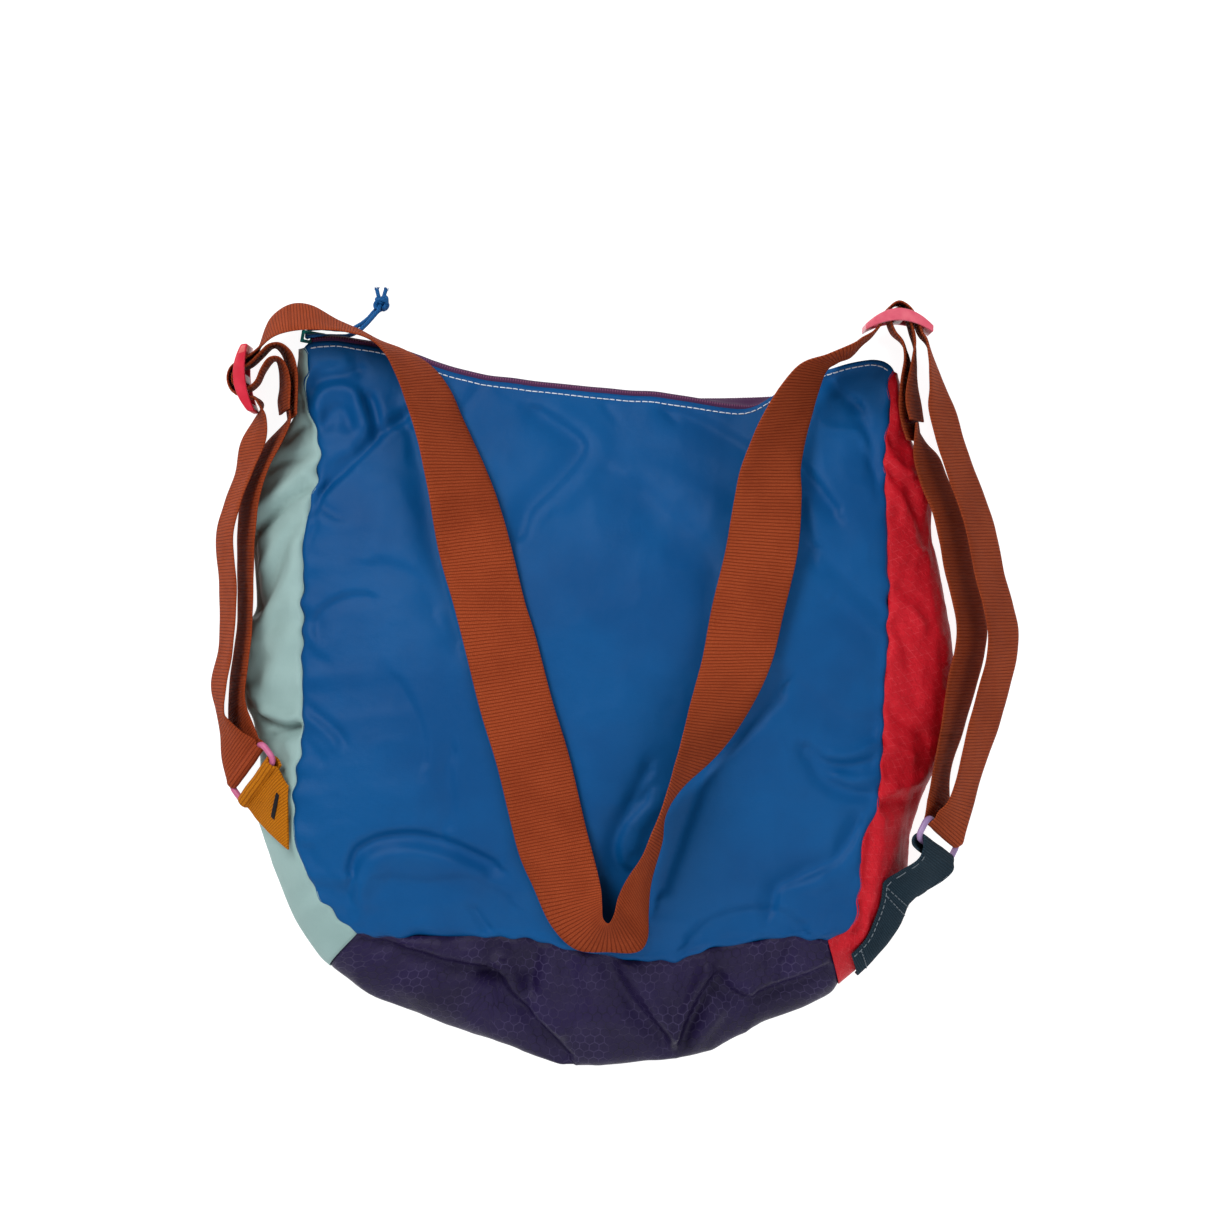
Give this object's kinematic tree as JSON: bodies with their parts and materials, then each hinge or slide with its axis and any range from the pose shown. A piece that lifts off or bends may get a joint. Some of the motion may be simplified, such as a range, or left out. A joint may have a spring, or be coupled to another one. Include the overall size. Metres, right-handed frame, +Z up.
{
  "type": "convertible tote bag",
  "caption": "Zip-top tote that converts to a backpack, lying on its back: colour-blocked nylon panels, one long webbing strap through adjusters and rings.",
  "frame": {"origin": "middle of the base of the bag's bounding box as it lies on its back panel, the pull cord left out", "axes": "+X to the right as the front is seen, +Y towards the zipped mouth, +Z up out of the front panel"},
  "size_m": [0.4288, 0.4215, 0.0961],
  "materials": {
    "blue_nylon": "plain-weave nylon, soft sheen",
    "mint_nylon": "plain-weave nylon, soft sheen",
    "red_ripstop": "diamond ripstop nylon, crinkled",
    "purple_ripstop": "hexagon ripstop nylon, glossy creases",
    "zip_tape": "woven zip tape",
    "zip_chain": "nylon coil",
    "teal_slider": "satin enamel",
    "blue_cord": "braided cord",
    "orange_webbing": "ribbed nylon webbing, matt",
    "mustard_webbing": "ribbed nylon webbing, matt",
    "teal_webbing": "ribbed nylon webbing, matt",
    "red_plastic": "satin moulded plastic",
    "pink_plastic": "satin moulded plastic",
    "magenta_plastic": "satin moulded plastic",
    "lavender_plastic": "satin moulded plastic"
  },
  "bodies": {
    "bag": {"front_panel": "blue_nylon", "back_panel": "blue_nylon", "left_gusset": "mint_nylon", "right_gusset": "red_ripstop", "bottom_panel": "purple_ripstop", "zip_tape_front": "zip_tape", "zip_tape_back": "zip_tape", "zip_chain": "zip_chain", "zip_end_stop": "zip_chain", "left_strap_outer": "orange_webbing", "left_strap_inner": "orange_webbing", "right_strap_outer": "orange_webbing", "right_strap_inner": "orange_webbing", "left_anchor_tab": "mustard_webbing", "right_anchor_tab": "teal_webbing"},
    "carry_loop": {"handle_strap": "orange_webbing"},
    "slider": {"zip_slider": "teal_slider"},
    "pull": {"pull_cord_a": "blue_cord", "pull_cord_b": "blue_cord", "pull_knot": "blue_cord"},
    "adjuster_left": {"left_adjuster": "red_plastic", "left_strap_end": "orange_webbing"},
    "adjuster_right": {"right_adjuster": "pink_plastic", "right_strap_end": "orange_webbing"},
    "ring_left": {"left_ring": "magenta_plastic"},
    "ring_right": {"right_ring": "lavender_plastic"}
  },
  "joints": [
    {"name": "carry_loop_lift", "type": "hinge", "parent": "bag", "child": "carry_loop", "pos_m": [-0.13645, 0.1908, 0.024], "axis": [-0.9983, 0.0573, -0.0114], "range_deg": [0, 105], "deforming": ["left_strap_outer", "right_strap_outer"]},
    {"name": "zip_travel", "type": "hinge", "parent": "bag", "child": "slider", "pos_m": [0.05005, 0.8425, 0], "axis": [0, 0, 1], "range_deg": [0, 21.6], "deforming": ["zip_tape_front", "zip_tape_back", "zip_chain"]},
    {"name": "pull_swing", "type": "hinge", "parent": "slider", "child": "pull", "pos_m": [-0.16509, 0.18741, 0.0215], "axis": [0, 0, 1], "range_deg": [-8, 35], "deforming": ["pull_cord_a", "pull_cord_b", "left_strap_outer"]},
    {"name": "left_adjuster_travel", "type": "slide", "parent": "bag", "child": "adjuster_left", "axis": [-0.08, -0.9968, 0], "range_m": [0, 0.045], "deforming": ["left_strap_end", "left_strap_inner", "left_strap_outer"]},
    {"name": "right_adjuster_travel", "type": "hinge", "parent": "bag", "child": "adjuster_right", "pos_m": [0.14605, 0.1645, 0.031], "axis": [0, 0, -1], "range_deg": [0, 50], "deforming": ["right_strap_end", "right_strap_inner", "right_strap_outer"]},
    {"name": "left_ring_turn", "type": "hinge", "parent": "bag", "child": "ring_left", "pos_m": [-0.19075, -0.0521, 0.0281], "axis": [-0.445, -0.5769, -0.6849], "range_deg": [-20, 20], "deforming": ["left_strap_outer", "left_strap_inner"]},
    {"name": "right_ring_turn", "type": "hinge", "parent": "bag", "child": "ring_right", "pos_m": [0.17211, -0.0891, 0.026], "axis": [0.4366, -0.3826, -0.8142], "range_deg": [-20, 20], "deforming": ["right_strap_outer", "right_strap_inner"]}
  ]
}
